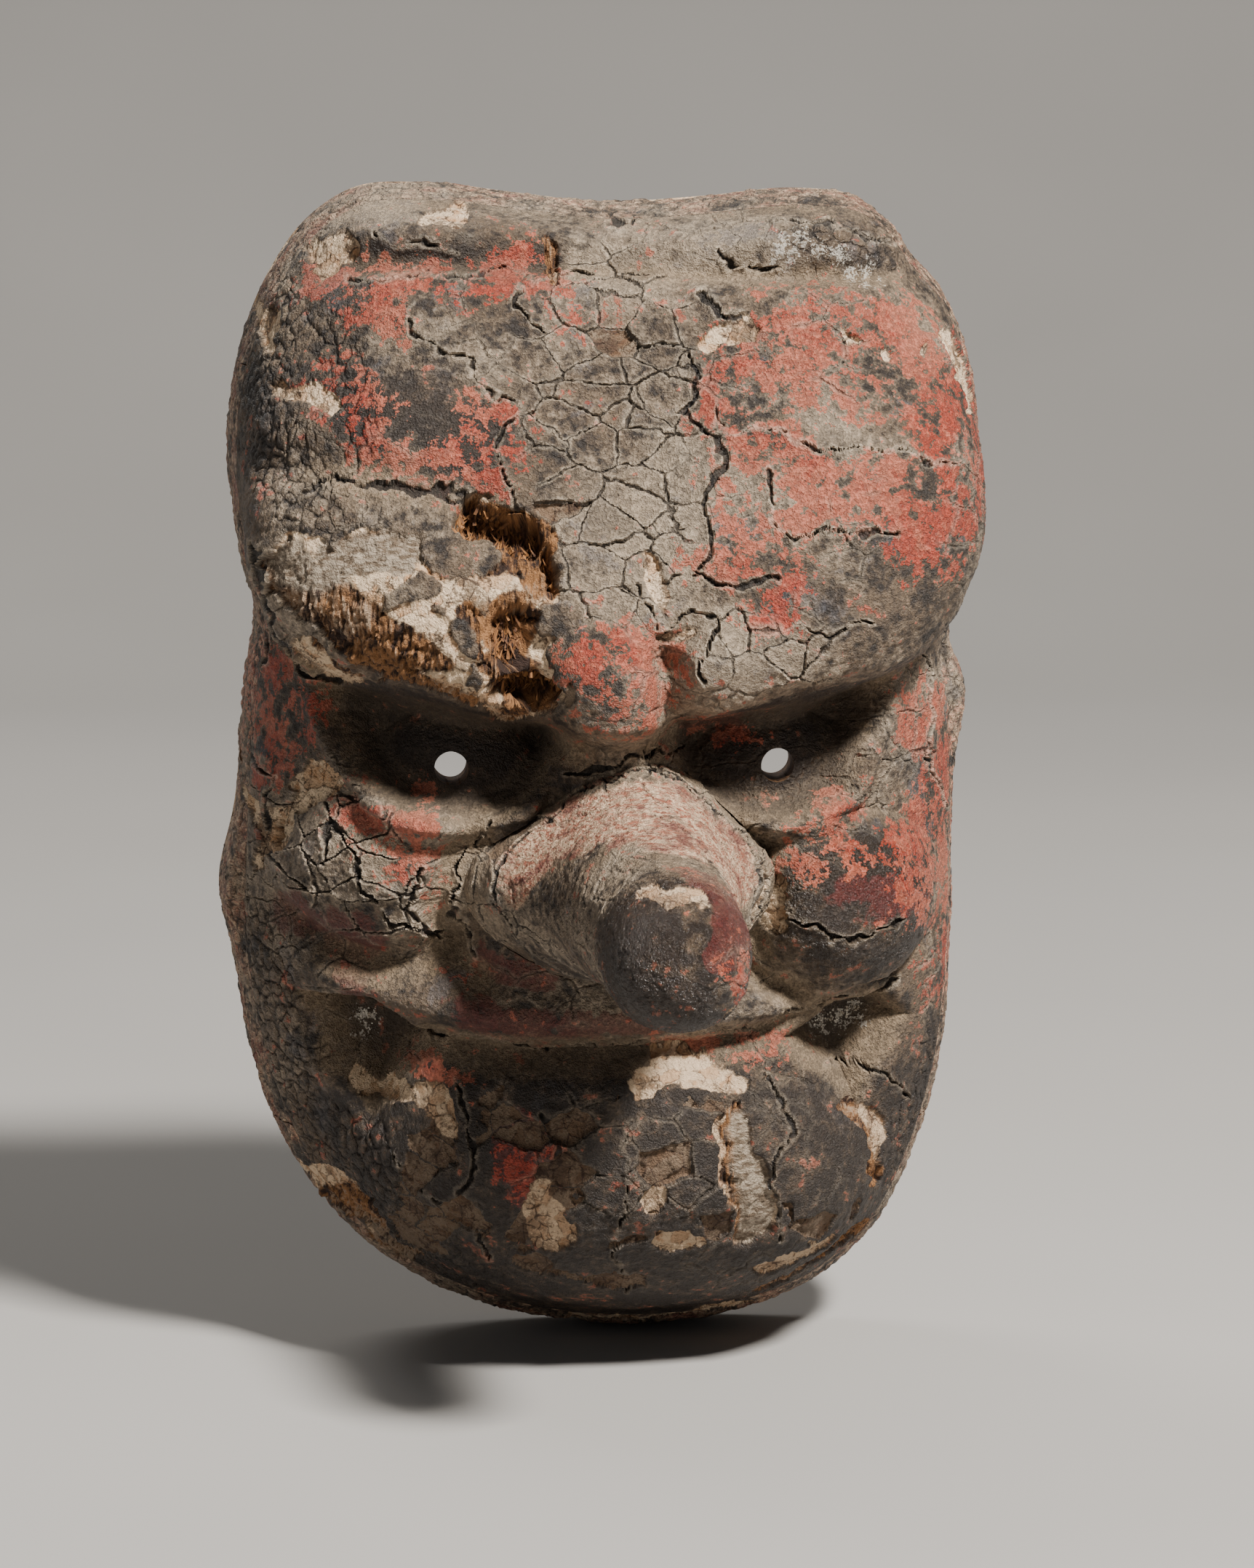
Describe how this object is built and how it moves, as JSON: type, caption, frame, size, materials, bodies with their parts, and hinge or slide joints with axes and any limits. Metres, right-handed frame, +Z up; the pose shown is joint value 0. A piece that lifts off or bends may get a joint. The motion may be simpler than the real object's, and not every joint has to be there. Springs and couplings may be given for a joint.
{
  "type": "carved goblin mask",
  "caption": "Antique carved wooden goblin mask with heavy scowling brows, a long blunt nose, deep eye sockets and pierced pupils, hollow behind, in cracked dark lacquer with worn red paint.",
  "frame": {"origin": "the middle of the plane the back of the rim lies in, halfway between the two cord holes and at their height, which is just below the pupils", "axes": "+X to the right of someone looking at the face, +Y out of the back towards the wearer, +Z up; the face looks along -Y"},
  "size_m": [0.1547, 0.139, 0.2356],
  "materials": {
    "lacquered_wood": "old cracked dark lacquer with patches of worn vermilion, dusty and mostly matte",
    "nose_lacquer": "lacquer rubbed thin, dark and half glossy at the tip, bare cloth and ground near the root",
    "peg_wood": "bare wood",
    "iron": "dark rusted iron, matte"
  },
  "bodies": {
    "root": {"face_block": "lacquered_wood", "crown_strip": "lacquered_wood", "chin_strip": "lacquered_wood", "side_strip_left": "lacquered_wood", "side_strip_right": "lacquered_wood", "nose": "nose_lacquer", "nose_wedge": "peg_wood", "dowel_crown_1": "peg_wood", "dowel_crown_2": "peg_wood", "dowel_crown_3": "peg_wood", "dowel_right_1": "peg_wood", "dowel_right_2": "peg_wood", "dowel_right_3": "peg_wood", "dowel_left_1": "peg_wood", "dowel_left_2": "peg_wood", "dowel_left_3": "peg_wood", "dowel_chin_1": "peg_wood", "dowel_chin_2": "peg_wood", "dowel_chin_3": "peg_wood", "staple_upper_left": "iron", "staple_upper_right": "iron", "staple_lower_left": "iron", "staple_lower_right": "iron"}
  },
  "joints": []
}
